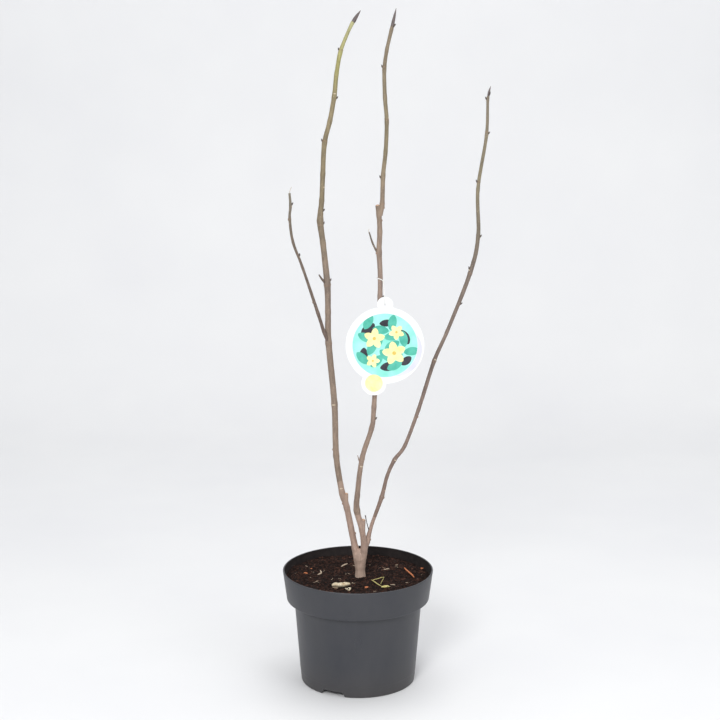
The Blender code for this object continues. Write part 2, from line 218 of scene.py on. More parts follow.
# Compost
SOIL_TOP = 0.155
SOIL_RADIUS = 0.1068
SOIL_RINGS = 130
SOIL_SIDES = 300
SOIL_WAVES = ((2.4, 0.022, 1.7), (1.7, 0.08, 5.1), (1.1, 0.25, 9.3), (0.6, 0.7, 2.2))   # height, scale, seed
TRUNK_SIDEWAYS = TRUNK[0][0]
MOUND_HEIGHT = 1.6              # the compost rises a little towards the trunk
MOUND_SPREAD = 16
TRUNK_CLEARANCE = 9
CRUMBS = 5200
CRUMB_SHARE = 0.85              # the rest of the crumbs have the fibres' colour
FIBRES = 1500
PALE_SHARE = 0.015
SCRAPS = 60

# Label
TAG_CENTRE = (0.038, 0.5135)
TAG_FRONT = -0.0494
PRINT_RADIUS = 0.0457
FOOT_TAB_CENTRE = (0.0225, 0.4592)
ROUNDEL_RADIUS = 0.0125
LAYER = 0.00005                 # one layer of print stands this far before the last
LAYER_DEPTH = 0.8               # its thickness, in layers
GROUND_LAYER, GAP_LAYER, LEAF_LAYER, PETAL_LAYER, HEART_LAYER = 1, 2, 3.5, 6.2, 7.4
GAPS = (                        # sideways, height, length, width and turn
    (-24, 22, 26, 15, 0.8), (27, 12, 24, 14, -1.0), (6, -30, 26, 13, 0.2), (-30, -14, 22, 12, 1.5),
    (30, -22, 18, 11, 0.7), (2, 32, 20, 10, 0.1),
)
PRINT_LEAVES = 15
PRINT_LEAF = (0.023, 0.012)
ROSETTES = ((-15, 10, 15, 0.2), (16, 19, 11, 0.9), (13, -11, 17, 0.5), (-17, -22, 10, 0.0))
# Painted shade in the label's margin: its outer radius, start and sweep in degrees, and steps
SHADE_RADIUS = 0.0536
SHADE_START = -72
SHADE_SWEEP = 92
SHADE_STEPS = 32
LOOP_ROUTE = (
    (37.8, -47.6, 572.6), (37.8, -49.0, 572.8), (37.7, -50.3, 573.8), (37.6, -50.5, 578),
    (37.4, -50.3, 583.6), (36.6, -49.2, 590), (36.2, -48.9, 599), (34.6, -49.0, 605.5),
    (31, -49.9, 608), (27.6, -48.3, 608.6), (26.2, -45.3, 608.8), (27.6, -42, 608.6), (31, -40.6, 608),
    (34.4, -42.2, 606.4), (36.2, -45, 602), (36.4, -46.4, 594), (37.2, -47.3, 584), (37.7, -47.4, 577),
)
LOOP_RADIUS = 0.6

# Surroundings
STAGE_FRONT, STAGE_BEND, STAGE_BACK = -2.4, 1.3, 2.0
STAGE_TOP = 3.2
STAGE_HALF = 3.5
STAGE_STEPS = 16
SKY_COLOR = (0.95, 0.97, 1.0)
SKY_STRENGTH = 0.55
LIGHTS = (                      # name, place, target, size and power
    ("key", (-0.6, -2.7, 1.9), (0, 0, 0.45), (0.9, 0.9), 58),
    ("fill", (1.9, -1.8, 1.4), (0, 0, 0.4), (1.4, 1.8), 14),
    ("top", (0.2, 0.3, 2.8), (0, 0, 0.3), (1.8, 1.8), 24),
)


# Materials

USUAL_LOW, USUAL_HIGH = 0.3, 0.7    # most of a noise's values lie between these
GRAIN_TONES = ((USUAL_LOW, (0.42, 0.38, 0.36)), (0.62, (1.25, 1.22, 1.18)))
BLOTCH_TONES = ((0.35, (0.72, 0.70, 0.70)), (0.65, (1.18, 1.15, 1.12)))
CRACK_TONES = ((0.32, (0.35, 0.30, 0.28)), (0.42, (1, 1, 1)))
PEAT_TONES = (
    (USUAL_LOW, (0.004, 0.0022, 0.002)), (0.55, (0.013, 0.0065, 0.0052)), (0.75, (0.034, 0.015, 0.011)),
)


class Shader:
    """A procedural material that is built up node by node from the object's own coordinates."""

    def __init__(self, name, roughness, specular):
        self.made = bpy.data.materials.new(name)
        self.made.use_nodes = True
        self.tree = self.made.node_tree
        self.out = self.tree.nodes["Principled BSDF"]
        self.feed(self.out, {"Roughness": roughness, "Specular IOR Level": specular})
        self.place = self.node("ShaderNodeTexCoord").outputs["Object"]

    def feed(self, node, inputs):
        """Sets a node's inputs to plain values, or links them to other nodes' outputs."""
        for name, value in inputs.items():
            if isinstance(value, bpy.types.NodeSocket):
                self.tree.links.new(value, node.inputs[name])
            else:
                node.inputs[name].default_value = value

    def node(self, kind, inputs=None, **settings):
        made = self.tree.nodes.new(kind)
        for key, value in settings.items():
            setattr(made, key, value)
        self.feed(made, inputs or {})
        return made

    def noise(self, scale, stretch=(1, 1, 1), detail=4, rough=0.6):
        place = self.node("ShaderNodeMapping", {"Vector": self.place, "Scale": stretch}).outputs["Vector"]
        inputs = {"Vector": place, "Scale": scale, "Detail": detail, "Roughness": rough}
        return self.node("ShaderNodeTexNoise", inputs).outputs["Fac"]

    def ramp(self, value, stops):
        made = self.node("ShaderNodeValToRGB", {"Fac": value})
        band = made.color_ramp
        while len(band.elements) < len(stops):
            band.elements.new(0.5)
        for element, (at, color) in zip(band.elements, stops):
            element.position = at
            element.color = (*color, 1)
        return made.outputs["Color"]

    def tones(self, value, dark, light):
        """Two tones, over the usual values of a noise."""
        return self.ramp(value, ((USUAL_LOW, dark), (USUAL_HIGH, light)))

    def mask(self, value, low, high, most):
        """Grey that rises from nothing at low to most at high."""
        return self.ramp(value, ((low, (0, 0, 0)), (high, (most, most, most))))

    def fit(self, value, low, high, to_low, to_high):
        inputs = {"Value": value, "From Min": low, "From Max": high, "To Min": to_low, "To Max": to_high}
        return self.node("ShaderNodeMapRange", inputs).outputs["Result"]

    def height(self, low, high):
        """0 at the height low and 1 at the height high."""
        up = self.node("ShaderNodeSeparateXYZ", {"Vector": self.place}).outputs["Z"]
        return self.fit(up, low, high, 0, 1)

    def spread(self, value, low, high):
        """The usual values of a noise, stretched to run from low to high."""
        return self.fit(value, USUAL_LOW, USUAL_HIGH, low, high)

    def mix(self, a, b, amount, blend="MIX"):
        a, b = ((*tone, 1) if isinstance(tone, tuple) else tone for tone in (a, b))
        inputs = {"Factor": amount, 6: a, 7: b}
        return self.node("ShaderNodeMix", inputs, data_type="RGBA", blend_type=blend).outputs[2]

    def bump(self, value, distance, strength, before=None):
        inputs = {"Height": value, "Distance": distance, "Strength": strength}
        if before:
            inputs["Normal"] = before
        return self.node("ShaderNodeBump", inputs).outputs["Normal"]

    def finish(self, color, rough=None, normal=None):
        inputs = {"Base Color": color, "Roughness": rough, "Normal": normal}
        self.feed(self.out, {name: value for name, value in inputs.items() if value})
        return self.made


def bark(name, low, high, streak, stops):
    """Smooth young bark: a colour that changes up the limb, long grain, blotches and fine cracks."""
    shader = Shader(name, roughness=0.6, specular=0.35)
    base = shader.ramp(shader.height(low, high), stops)
    grain = shader.noise(650, stretch=(1, 1, 0.10), detail=6, rough=0.7)
    blotch = shader.noise(85, stretch=(1, 1, 0.5))
    speck = shader.noise(1500, stretch=(1, 1, 0.7), detail=2)
    color = shader.mix(base, shader.ramp(grain, GRAIN_TONES), streak, "MULTIPLY")
    color = shader.mix(color, shader.ramp(blotch, BLOTCH_TONES), 0.7, "MULTIPLY")
    color = shader.mix(color, shader.ramp(speck, CRACK_TONES), 0.55, "MULTIPLY")
    ridged = shader.bump(grain, distance=0.0005, strength=0.6)
    normal = shader.bump(speck, distance=0.0002, strength=0.35, before=ridged)
    return shader.finish(color, shader.spread(grain, 0.5, 0.75), normal)


def mottled(name, dark, light, scale, roughness, bump=0.0002, stretch=(1, 1, 1)):
    """A plain finish with two close tones of one colour, for small things."""
    shader = Shader(name, roughness, specular=0.3)
    value = shader.noise(scale, stretch, detail=5)
    return shader.finish(shader.tones(value, dark, light), None, shader.bump(value, bump, strength=0.5))


def printed(name, dark, light, scale):
    """Smooth ink on card; also used for the painted shade in the label's margin."""
    return mottled(name, dark, light, scale, roughness=0.35, bump=0.00002)


def pot_plastic():
    """Dark satin plastic with faint flow lines, dust low down and a few scuffs."""
    dark, light = (0.027, 0.029, 0.037), (0.041, 0.042, 0.048)
    scuffed, dusty = (0.10, 0.097, 0.095), (0.075, 0.066, 0.058)
    dust_top = 0.05
    shader = Shader("pot_plastic", roughness=0.45, specular=0.5)
    cloud = shader.noise(22, stretch=(1, 1, 0.35), detail=6, rough=0.7)
    fine = shader.noise(900, detail=3)
    scuff = shader.noise(60, stretch=(1, 1, 9), detail=8, rough=0.75)
    color = shader.tones(cloud, dark, light)
    color = shader.mix(color, scuffed, shader.mask(scuff, 0.66, 0.8, most=0.5))
    color = shader.mix(color, dusty, shader.mask(shader.height(dust_top, 0.0), 0.0, 1.0, most=0.35))
    wavy = shader.bump(cloud, distance=0.0012, strength=0.2)
    normal = shader.bump(fine, distance=0.0001, strength=0.25, before=wavy)
    return shader.finish(color, shader.spread(cloud, 0.38, 0.52), normal)


def peat():
    """Dark, dull and lumpy, with a red-brown tinge on the lumps."""
    shader = Shader("peat", roughness=0.95, specular=0.15)
    lumps = shader.noise(170, detail=8, rough=0.7)
    fine = shader.noise(900, rough=0.7)
    lumpy = shader.bump(lumps, distance=0.002, strength=0.8)
    normal = shader.bump(fine, distance=0.0006, strength=0.8, before=lumpy)
    return shader.finish(shader.ramp(lumps, PEAT_TONES), None, normal)


def card():
    """White plastic-coated card, with a fine tooth."""
    shader = Shader("label_card", roughness=0.35, specular=0.4)
    color = shader.tones(shader.noise(30, detail=3), (0.80, 0.82, 0.83), (0.88, 0.89, 0.88))
    return shader.finish(color, None, shader.bump(shader.noise(700), distance=0.00004, strength=0.3))


# Looks. Bark has the heights where its colours begin and end, the streaks' share, and the colours between
LOOKS = {
    "fork": bark("bark_old", 0.15, 0.32, 0.35, (
        (0.0, (0.50, 0.375, 0.30)), (0.35, (0.42, 0.30, 0.245)), (1.0, (0.31, 0.235, 0.185)))),
    "left": bark("bark_left", 0.28, 0.97, 0.5, (
        (0.0, (0.25, 0.19, 0.145)), (0.45, (0.26, 0.205, 0.165)), (0.62, (0.23, 0.19, 0.12)),
        (0.82, (0.25, 0.21, 0.125)), (0.90, (0.36, 0.345, 0.135)), (1.0, (0.44, 0.44, 0.25)))),
    "middle": bark("bark_middle", 0.22, 0.98, 0.5, (
        (0.0, (0.27, 0.20, 0.155)), (0.5, (0.31, 0.235, 0.195)), (0.66, (0.25, 0.195, 0.145)),
        (0.75, (0.235, 0.20, 0.125)), (1.0, (0.22, 0.18, 0.13)))),
    "right": bark("bark_right", 0.2, 0.87, 0.5, (
        (0.0, (0.22, 0.155, 0.125)), (0.3, (0.22, 0.165, 0.14)), (0.6, (0.19, 0.155, 0.13)),
        (0.8, (0.215, 0.19, 0.125)), (1.0, (0.20, 0.17, 0.13)))),
    "branch": bark("bark_branch", 0.5, 0.72, 0.5, (
        (0.0, (0.17, 0.125, 0.105)), (0.7, (0.15, 0.12, 0.095)), (1.0, (0.20, 0.18, 0.14)))),
    "bud": mottled("bud_scales", (0.045, 0.036, 0.034), (0.13, 0.10, 0.085), 1400, 0.6,
                   stretch=(1, 1, 0.15)),
    "silk": mottled("bud_silk", (0.075, 0.062, 0.062), (0.19, 0.155, 0.145), 1800, 0.55,
                    stretch=(1, 1, 0.12)),
    "scar": mottled("scar_cream", (0.45, 0.36, 0.25), (0.72, 0.62, 0.47), 900, 0.8),
    "ring": mottled("scar_ring", (0.16, 0.10, 0.07), (0.42, 0.29, 0.21), 700, 0.8),
    "cut": mottled("cut_wood", (0.38, 0.22, 0.13), (0.58, 0.40, 0.28), 900, 0.85),
    "fleck": mottled("lenticel", (0.34, 0.27, 0.21), (0.50, 0.42, 0.34), 1200, 0.85),
    "pot": pot_plastic(),
    "inner": mottled("pot_stain", (0.008, 0.006, 0.006), (0.022, 0.016, 0.015), 130, 0.8, 0.0003),
    "peat": peat(),
    "crumb": mottled("peat_crumb", (0.005, 0.003, 0.0026), (0.026, 0.0125, 0.009), 700, 0.95, 0.0004),
    "fibre": mottled("peat_fibre", (0.034, 0.013, 0.009), (0.095, 0.040, 0.025), 900, 0.9),
    "straw": mottled("pale_litter", (0.36, 0.26, 0.18), (0.66, 0.55, 0.42), 600, 0.85),
    "leaf": mottled("dead_leaf", (0.34, 0.24, 0.13), (0.80, 0.74, 0.58), 260, 0.8, 0.0004),
    "sprig": mottled("dry_sprig", (0.38, 0.33, 0.10), (0.66, 0.58, 0.26), 400, 0.75),
    "rust": mottled("red_stick", (0.42, 0.12, 0.045), (0.66, 0.26, 0.12), 500, 0.8),
    "card": card(),
    "tie": mottled("label_tie", (0.70, 0.70, 0.66), (0.86, 0.86, 0.83), 500, 0.5, 0.00005),
    "mint": printed("print_mint", (0.22, 0.70, 0.58), (0.42, 0.86, 0.77), 38),
    "teal": printed("print_teal", (0.05, 0.36, 0.27), (0.12, 0.53, 0.41), 60),
    "dusk": printed("print_dusk", (0.022, 0.024, 0.032), (0.06, 0.055, 0.07), 60),
    "petal": printed("print_petal", (0.86, 0.80, 0.30), (0.93, 0.90, 0.52), 90),
    "heart": printed("print_heart", (0.62, 0.42, 0.08), (0.80, 0.60, 0.16), 200),
    # Painted shade: a lavender tint for the label's lower right margin, in place of the bent card's shading
    "margin": printed("painted_shade_margin", (0.60, 0.60, 0.74), (0.70, 0.70, 0.82), 40),
}


# Meshes

def around(count):
    """Evenly spaced angles round a circle."""
    return [2 * math.pi * k / count for k in range(count)]


class Shape:
    """Vertices and faces gathered for one joined piece, with a look for each face."""

    def __init__(self, name):
        self.name = name
        self.points, self.faces, self.marks, self.looks = [], [], [], []
        self.count = 0

    def add(self, points, faces, look):
        if look not in self.looks:
            self.looks.append(look)
        self.points.append(np.asarray(points, float).reshape(-1, 3))
        self.faces += [tuple(int(i) + self.count for i in face) for face in faces]
        self.marks += [self.looks.index(look)] * len(faces)
        self.count += len(self.points[-1])

    def sweep(self, line, radii, sides, look, closed=False):
        """Adds a tube along a line in millimetres."""
        self.add(tube(line, radii, sides) * MM, tube_faces(len(line), sides, closed), look)

    def piece(self, slot, *nodes, sharp=40):
        mesh = bpy.data.meshes.new(self.name)
        mesh.from_pydata(np.concatenate(self.points).tolist(), [], self.faces)
        for look in self.looks:
            mesh.materials.append(LOOKS[look])
        mesh.polygons.foreach_set("material_index", self.marks)
        settle(self.name, mesh, nodes, sharp)


def placed(name, data):
    """A new object in the scene."""
    made = bpy.data.objects.new(name, data)
    bpy.context.scene.collection.objects.link(made)
    return made


def clean(mesh, distance):
    """Merges points that lie together and turns the faces outwards."""
    shape = bmesh.new()
    shape.from_mesh(mesh)
    bmesh.ops.remove_doubles(shape, verts=shape.verts, dist=distance)
    bmesh.ops.recalc_face_normals(shape, faces=shape.faces)
    shape.to_mesh(mesh)
    shape.free()


def settle(name, mesh, nodes=(), sharp=40):
    """Cleans the mesh, puts it in the scene and ties it to the frame."""
    clean(mesh, 1e-7)
    mesh.shade_smooth()
    mesh.set_sharp_from_angle(angle=math.radians(sharp))
    made = placed(name, mesh)
    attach(made, "root")
    if nodes:
        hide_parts(*nodes)


def tube_faces(rings, sides, closed=False):
    """Faces between rings of points, with end caps, or joined into a loop."""
    faces = []
    for i in range(rings if closed else rings - 1):
        here, there = i * sides, (i + 1) % rings * sides
        for j in range(sides):
            beside = (j + 1) % sides
            faces.append((here + j, here + beside, there + beside, there + j))
    if not closed:
        faces.append(tuple(range(sides))[::-1])
        faces.append(tuple(range((rings - 1) * sides, rings * sides)))
    return faces


def carry(points):
    """Two directions across a line at each of its points, turned as little as possible along it."""
    points = np.asarray(points, float)
    along = np.gradient(points, axis=0)
    along /= np.linalg.norm(along, axis=1)[:, None]
    side = np.cross(along[0], (0.0, 1.0, 0.0))
    if np.linalg.norm(side) < 0.1:
        side = np.cross(along[0], (1.0, 0.0, 0.0))
    sides = []
    for direction in along:
        side = side - direction * (side @ direction)
        side /= np.linalg.norm(side)
        sides.append(side.copy())
    sides = np.array(sides)
    return along, sides, np.cross(along, sides)


def tube(points, radii, sides):
    """Points of a tube: radii is one value for each ring, or one for each ring and side."""
    points = np.asarray(points, float)
    _, across, over = carry(points)
    turn = np.arange(sides) * 2 * math.pi / sides
    radii = np.asarray(radii, float)
    if radii.ndim == 1:
        radii = np.repeat(radii[:, None], sides, 1)
    ring = across[:, None, :] * np.cos(turn)[None, :, None] + over[:, None, :] * np.sin(turn)[None, :, None]
    return (points[:, None, :] + ring * radii[:, :, None]).reshape(-1, 3)


def spline(rows, step, closed=False):
    """A smooth line through the rows, with a fourth value carried along evenly."""
    rows = np.asarray(rows, float)
    count = len(rows)
    made = []
    for i in range(count if closed else count - 1):
        if closed:
            a, b, c, d = (rows[(i + k) % count] for k in (-1, 0, 1, 2))
        else:
            b, c = rows[i], rows[i + 1]
            a = rows[i - 1] if i else 2 * b - c
            d = rows[i + 2] if i + 2 < count else 2 * c - b
        pieces = max(1, round(float(np.linalg.norm(c[:3] - b[:3])) / step))
        for piece in range(pieces):
            t = piece / pieces
            bend, twist = 2 * a - 5 * b + 4 * c - d, 3 * b - a - 3 * c + d
            point = 0.5 * (2 * b + (c - a) * t + bend * t * t + twist * t ** 3)
            if len(point) > 3:
                point[3] = b[3] * (1 - t) + c[3] * t
            made.append(point)
    if not closed:
        made.append(rows[-1])
    return np.array(made)


class Limb:
    """A limb's line, thickness and distances, in millimetres."""

    def __init__(self, rows):
        line = spline(rows, RING_STEP)
        self.line = line[:, :3]
        self.radius = line[:, 3] / 2
        self.at = np.concatenate([[0], np.cumsum(np.linalg.norm(np.diff(self.line, axis=0), axis=1))])
        for row in np.asarray(rows[1:-1], float):
            away = np.linalg.norm(self.line - row[:3], axis=1) / NODE_SPAN
            self.radius = self.radius * (1 + NODE_SWELL * np.exp(-away ** 2))

    def part(self, start=0, end=math.inf):
        """The points and radii between two distances along the limb."""
        keep = (self.at >= start) & (self.at <= end)
        return self.line[keep], self.radius[keep]

    def spot(self, height, bearing):
        """Centre, outward direction, limb direction and radius at a height on the limb."""
        index = int(np.argmin(np.abs(self.line[:, 2] - height)))
        ahead = self.line[min(index + 1, len(self.line) - 1)] - self.line[max(index - 1, 0)]
        along = ahead / np.linalg.norm(ahead)
        turn = math.radians(bearing)
        out = np.array([math.sin(turn), -math.cos(turn), 0.0])
        out = out - along * (out @ along)
        return self.line[index], out / np.linalg.norm(out), along, self.radius[index]


def relief(point, seed):
    """Bark relief at a point, in millimetres."""
    x, y, z = point
    lift = 0
    for height, across, along in RELIEF:
        lift += height * noise.noise(Vector((x * across, y * across, z * along + seed)))
    return lift


def rough_tube(line, radius, seed, sides=LIMB_SIDES):
    """A tube with the bark's relief, weaker where the limb is thin."""
    plain = tube(line, radius, sides)
    lifts = np.array([relief(point, seed) for point in plain]).reshape(-1, sides)
    return tube(line, radius[:, None] + lifts * np.minimum(1, radius[:, None] / RELIEF_FULL), sides)


LIMBS = {
    "left": Limb(LEFT_STEM), "middle": Limb(MIDDLE_STEM), "shoot": Limb(MIDDLE_SHOOT),
    "right": Limb(RIGHT_STEM), "branch": Limb(LEFT_BRANCH), "twig": Limb(MIDDLE_TWIG),
    "spur": Limb(LEFT_SPUR),
}


def make_fork():
    """The trunk, its fork and the first stretch of each stem, grown into one skin."""
    points, faces, count = [], [], 0
    runs = [Limb(TRUNK).part()] + [LIMBS[name].part(0, reach) for name, reach in FORK_REACH.items()]
    runs += [Limb(LEFT_CUT).part(), Limb(MIDDLE_CUT).part()]
    for line, radius in runs:
        made = tube(line, radius, FORK_SIDES)
        points.append(made)
        faces += [tuple(i + count for i in face) for face in tube_faces(len(line), FORK_SIDES)]
        count += len(made)
    shape = bpy.data.meshes.new("fork_raw")
    shape.from_pydata((np.concatenate(points) * MM).tolist(), [], faces)
    raw = placed("fork_raw", shape)
    remesh = raw.modifiers.new("skin", "REMESH")
    remesh.mode = "VOXEL"
    remesh.voxel_size = FORK_VOXEL
    soften = raw.modifiers.new("soften", "SMOOTH")
    soften.factor = 0.5
    soften.iterations = FORK_SOFTENING
    mesh = applied(raw)
    for vert in mesh.vertices:
        vert.co += vert.normal * relief(vert.co / MM, FORK_SEED) * MM * FORK_RELIEF
    mesh.materials.append(LOOKS["fork"])
    settle("trunk_fork", mesh, ["trunk"], sharp=80)


def applied(thing):
    """The thing's mesh with its modifiers, once the thing itself has been removed."""
    bpy.context.view_layer.update()
    mesh = bpy.data.meshes.new_from_object(thing.evaluated_get(bpy.context.evaluated_depsgraph_get()))
    bpy.data.objects.remove(thing, do_unlink=True)
    return mesh


def make_limb(name, look, node, seed):
    """A limb's bark, from where the fork leaves it to where its terminal bud takes over."""
    limb = LIMBS[name]
    start = FORK_REACH[name] - FORK_OVERLAP if name in FORK_REACH else 0
    end = limb.at[-1] - TIPS[name][2] if name in TIPS else math.inf
    line, radius = limb.part(start, end)
    shape = Shape(node + "_bark")
    shape.add(rough_tube(line, radius, seed) * MM, tube_faces(len(line), LIMB_SIDES), look)
    shape.piece("bark", node, sharp=60)


# Buds, scars and small growths

def spindle(shape, base, axis, out, size, look, sides=10, rings=8, blunt=0.8):
    """A bud-shaped body: size is its length, width and thickness."""
    axis = axis / np.linalg.norm(axis)
    flat = out - axis * (out @ axis)
    flat /= np.linalg.norm(flat)
    wide = np.cross(axis, flat)
    points = []
    for i in range(rings):
        t = i / (rings - 1)
        girth = max(0.06, math.sin(math.pi * min(1, 0.12 + 0.88 * t) ** blunt)) if t < 1 else 0.05
        for turn in around(sides):
            points.append(base + axis * size[0] * t + wide * math.cos(turn) * girth * size[1] / 2
                          + flat * math.sin(turn) * girth * size[2] / 2)
    shape.add(np.array(points) * MM, tube_faces(rings, sides), look)


def ring_scar(shape, limb, height):
    """Two fine ridges round the limb, a little tilted, where bud scales fell."""
    centre, out, along, radius = limb.spot(height, 0)
    wide = np.cross(along, out)
    tilt = dice.uniform(-0.25, 0.25)
    reach = radius + 0.02
    for step in (0, RING_GAP):
        line = []
        for turn in around(RING_SIDES):
            lift = step + tilt * math.cos(turn) * radius + 0.15 * math.sin(3 * turn)
            line.append(centre + along * lift + (out * math.cos(turn) + wide * math.sin(turn)) * reach)
        shape.sweep(line, np.full(RING_SIDES, RING_BEAD), 6, "ring", closed=True)


def growth(shape, limb, height, bearing, kind):
    """One bud, scar or swelling on a limb."""
    centre, out, along, radius = limb.spot(height, bearing)
    wide = np.cross(along, out)
    surface = centre + out * radius * SKIN
    if kind == "ring":
        ring_scar(shape, limb, height)
    elif kind == "crescent":
        length, width, thickness = CRESCENT
        spindle(shape, surface - along * 0.7 - wide * radius * length / 2, wide, out,
                (radius * length, width, thickness), "scar", blunt=1.0)
    elif kind == "fleck":
        spindle(shape, surface - along, along, out, FLECK, "scar", blunt=1.0)
    elif kind == "knob":
        length, width, thickness = KNOB
        spindle(shape, centre + out * radius * 0.62 - along * 1.8, along + out * 0.18, out,
                (length, radius * width, radius * thickness), "ring", blunt=0.9)
    else:
        spindle(shape, surface - along * 1.6 - out * 0.6, along + out * BUD_LEAN, out, BUD, "bud")
        spindle(shape, surface - along * 2.9 - wide * BUD_SCAR[0] / 2, wide, out, BUD_SCAR, "scar", blunt=1.0)


def make_growths():
    shape = Shape("buds_and_scars")
    places = {"left": LEFT_NODES, "middle": MIDDLE_NODES, "shoot": SHOOT_NODES, "right": RIGHT_NODES,
              "branch": BRANCH_NODES}
    for name, nodes in places.items():
        for height, bearing, kind in nodes:
            growth(shape, LIMBS[name], height, bearing, kind)
    shape.piece("bark", sharp=60)


def make_tips():
    """The silky terminal buds at the ends of the three stems."""
    shape = Shape("terminal_buds")
    for name, (length, width, _) in TIPS.items():
        limb = LIMBS[name]
        line, _ = limb.part(limb.at[-1] - length)
        t = np.linspace(0, 1, len(line))
        girth = width / 2 * np.clip(0.78 + 0.75 * t - 1.45 * t ** 1.7, 0.10, None)
        skin = rough_tube(line, girth, TIP_SEED, TIP_SIDES)
        shape.add(skin * MM, tube_faces(len(line), TIP_SIDES), "silk")
        centre, out, along, radius = limb.spot(line[0][2], SIDE_BUD_BEARING)
        spindle(shape, centre + out * radius * 0.5, along + out * 0.25, out, SIDE_BUD, "bud")
    shape.piece("bark", sharp=60)


def make_cuts():
    """Cut faces of the old pruning stubs, and small dry remains beside them."""
    shape = Shape("pruning_cuts")
    for rows, tilt in CUT_FACES:
        top = np.array(rows[-1], float)
        axis = np.array(tilt)
        size = (CUT_THICKNESS, top[3] * 0.92, top[3] * 0.92)
        spindle(shape, top[:3] - axis * 0.7, axis, np.array([1.0, 0, 0]), size, "cut", 18, 7, blunt=1.0)
    for sides, look, rows in DRY_BITS:
        line = spline(rows, 1)
        shape.sweep(line[:, :3], line[:, 3] / 2, sides, look)
    shape.piece("bark", sharp=50)


def make_lenticels():
    """Small pale pores scattered over the bark."""
    shape = Shape("lenticels")
    for name, limb in LIMBS.items():
        for _ in range(int(limb.at[-1] * PORES_PER_MM)):
            height = dice.uniform(limb.line[0][2] + 12, limb.line[-1][2] - 22)
            centre, out, along, radius = limb.spot(height, dice.uniform(-180, 180))
            size = dice.uniform(*PORE_SIZES)
            wide = np.cross(along, out)
            middle = centre + out * (radius - 0.02)
            points = [middle + along * size * 0.8, middle + wide * size * 0.5, middle - along * size * 0.8,
                      middle - wide * size * 0.5, middle + out * 0.16, middle - out * 0.2]
            faces = [(0, 1, 4), (1, 2, 4), (2, 3, 4), (3, 0, 4), (1, 0, 5), (2, 1, 5), (3, 2, 5), (0, 3, 5)]
            shape.add(np.array(points) * MM, faces, "fleck")
    shape.piece("bark", sharp=80)


# Pot

def rounded(corners, steps=5):
    """An outline whose corners, given as radius, height and fillet, are rounded by arcs."""
    made = []
    for i, (x, z, fillet) in enumerate(corners):
        here = Vector((x, z))
        if fillet == 0 or i in (0, len(corners) - 1):
            made.append((x, z))
            continue
        back = (Vector(corners[i - 1][:2]) - here).normalized()
        on = (Vector(corners[i + 1][:2]) - here).normalized()
        half = back.angle(on) / 2
        reach = fillet / math.tan(half)
        centre = here + (back + on).normalized() * fillet / math.sin(half)
        first, last = here + back * reach - centre, here + on * reach - centre
        sweep = first.angle_signed(last)
        for k in range(steps + 1):
            turn = -sweep * k / steps
            spun = Vector((first.x * math.cos(turn) - first.y * math.sin(turn),
                           first.x * math.sin(turn) + first.y * math.cos(turn)))
            made.append(tuple(centre + spun))
    return made


def lathe(profile, sides):
    """Points and faces of a profile turned round the upright axis."""
    points = [(r * math.cos(turn), r * math.sin(turn), z) for r, z in profile for turn in around(sides)]
    return points, tube_faces(len(profile), sides)[:-2]


def cutter(name, corners_low, corners_high, low, high, place, turn=0):
    """A body whose lower and upper ends may differ in size."""
    mesh = bpy.data.meshes.new(name)
    points = [(x, y, low) for x, y in corners_low] + [(x, y, high) for x, y in corners_high]
    mesh.from_pydata(points, [], tube_faces(2, len(corners_low)))
    made = placed(name, mesh)
    made.location = place
    made.rotation_euler.z = turn
    return made


def body_radius(height):
    """The pot's outer radius below its collar."""
    return BASE_RADIUS + (BODY_TOP_RADIUS - BASE_RADIUS) * height / (POT_HEIGHT - COLLAR_HEIGHT)


def before_axis(radius, turn, height=0.0):
    """The point at a radius from the pot's axis, turned from the front."""
    return np.array([radius * math.sin(turn), -radius * math.cos(turn), height])


def pot_corners():
    """The pot's section from the axis up the inside and down the outside: radius, height and fillet."""
    step = POT_HEIGHT - COLLAR_HEIGHT
    floor = SKIRT_HEIGHT + WALL
    ridge = body_radius(RIDGE_HEIGHT)
    lip = WALL + RIM_THICKENING
    return [
        (0, WALL, 0), (HUB_RADIUS, WALL, 0.002), (HUB_RADIUS + HUB_SLOPE, floor, 0.002),
        (body_radius(floor) - WALL, floor, 0.003), (BODY_TOP_RADIUS - WALL, step + WALL, 0.0012),
        (COLLAR_FOOT_RADIUS - WALL, step + WALL, 0.002), (RIM_RADIUS - lip, POT_HEIGHT - 0.004, 0.003),
        (RIM_RADIUS - lip, POT_HEIGHT, 0.0009), (RIM_RADIUS, POT_HEIGHT, 0.0009),
        (COLLAR_FOOT_RADIUS, step, 0.0020), (BODY_TOP_RADIUS, step, 0.0012),
        (ridge + RIDGE_DEPTH + 0.0001, RIDGE_HEIGHT + 0.0014, 0.0004),
        (ridge + RIDGE_DEPTH, RIDGE_HEIGHT, 0.0004),
        (ridge, RIDGE_HEIGHT - 0.0008, 0.0003), (BASE_RADIUS, 0, 0.0022),
        (BASE_RADIUS - FOOT_RING, 0, 0.0008), (BASE_RADIUS - FOOT_RING, SKIRT_HEIGHT, 0.0008),
        (HUB_RADIUS + HUB_SLOPE, SKIRT_HEIGHT, 0.002), (HUB_RADIUS, 0, 0.002), (0, 0, 0),
    ]


def block(half):
    """Corners of a notch's cutter, across the foot ring."""
    return [(-half, -NOTCH_REACH), (half, -NOTCH_REACH), (half, NOTCH_REACH), (-half, NOTCH_REACH)]


